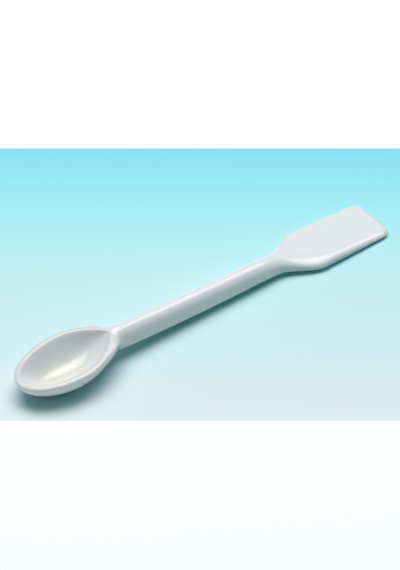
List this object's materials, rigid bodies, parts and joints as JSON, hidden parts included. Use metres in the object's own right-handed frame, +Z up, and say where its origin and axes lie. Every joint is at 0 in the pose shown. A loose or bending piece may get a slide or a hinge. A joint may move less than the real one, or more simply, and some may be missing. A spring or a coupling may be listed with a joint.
{
  "type": "laboratory spatula",
  "caption": "Glazed porcelain laboratory spatula: egg-shaped spoon bowl, oval handle and flat rectangular blade.",
  "frame": {"origin": "on the table under the middle of the spatula, which lies flat on the underside of its bowl and blade", "axes": "+X along the spatula from the tip of the bowl towards the end of the blade, +Z up out of the bowl's mouth"},
  "size_m": [0.15, 0.0234, 0.011],
  "materials": {
    "porcelain": "gloss"
  },
  "bodies": {
    "root": {"spatula": "porcelain"}
  },
  "joints": []
}
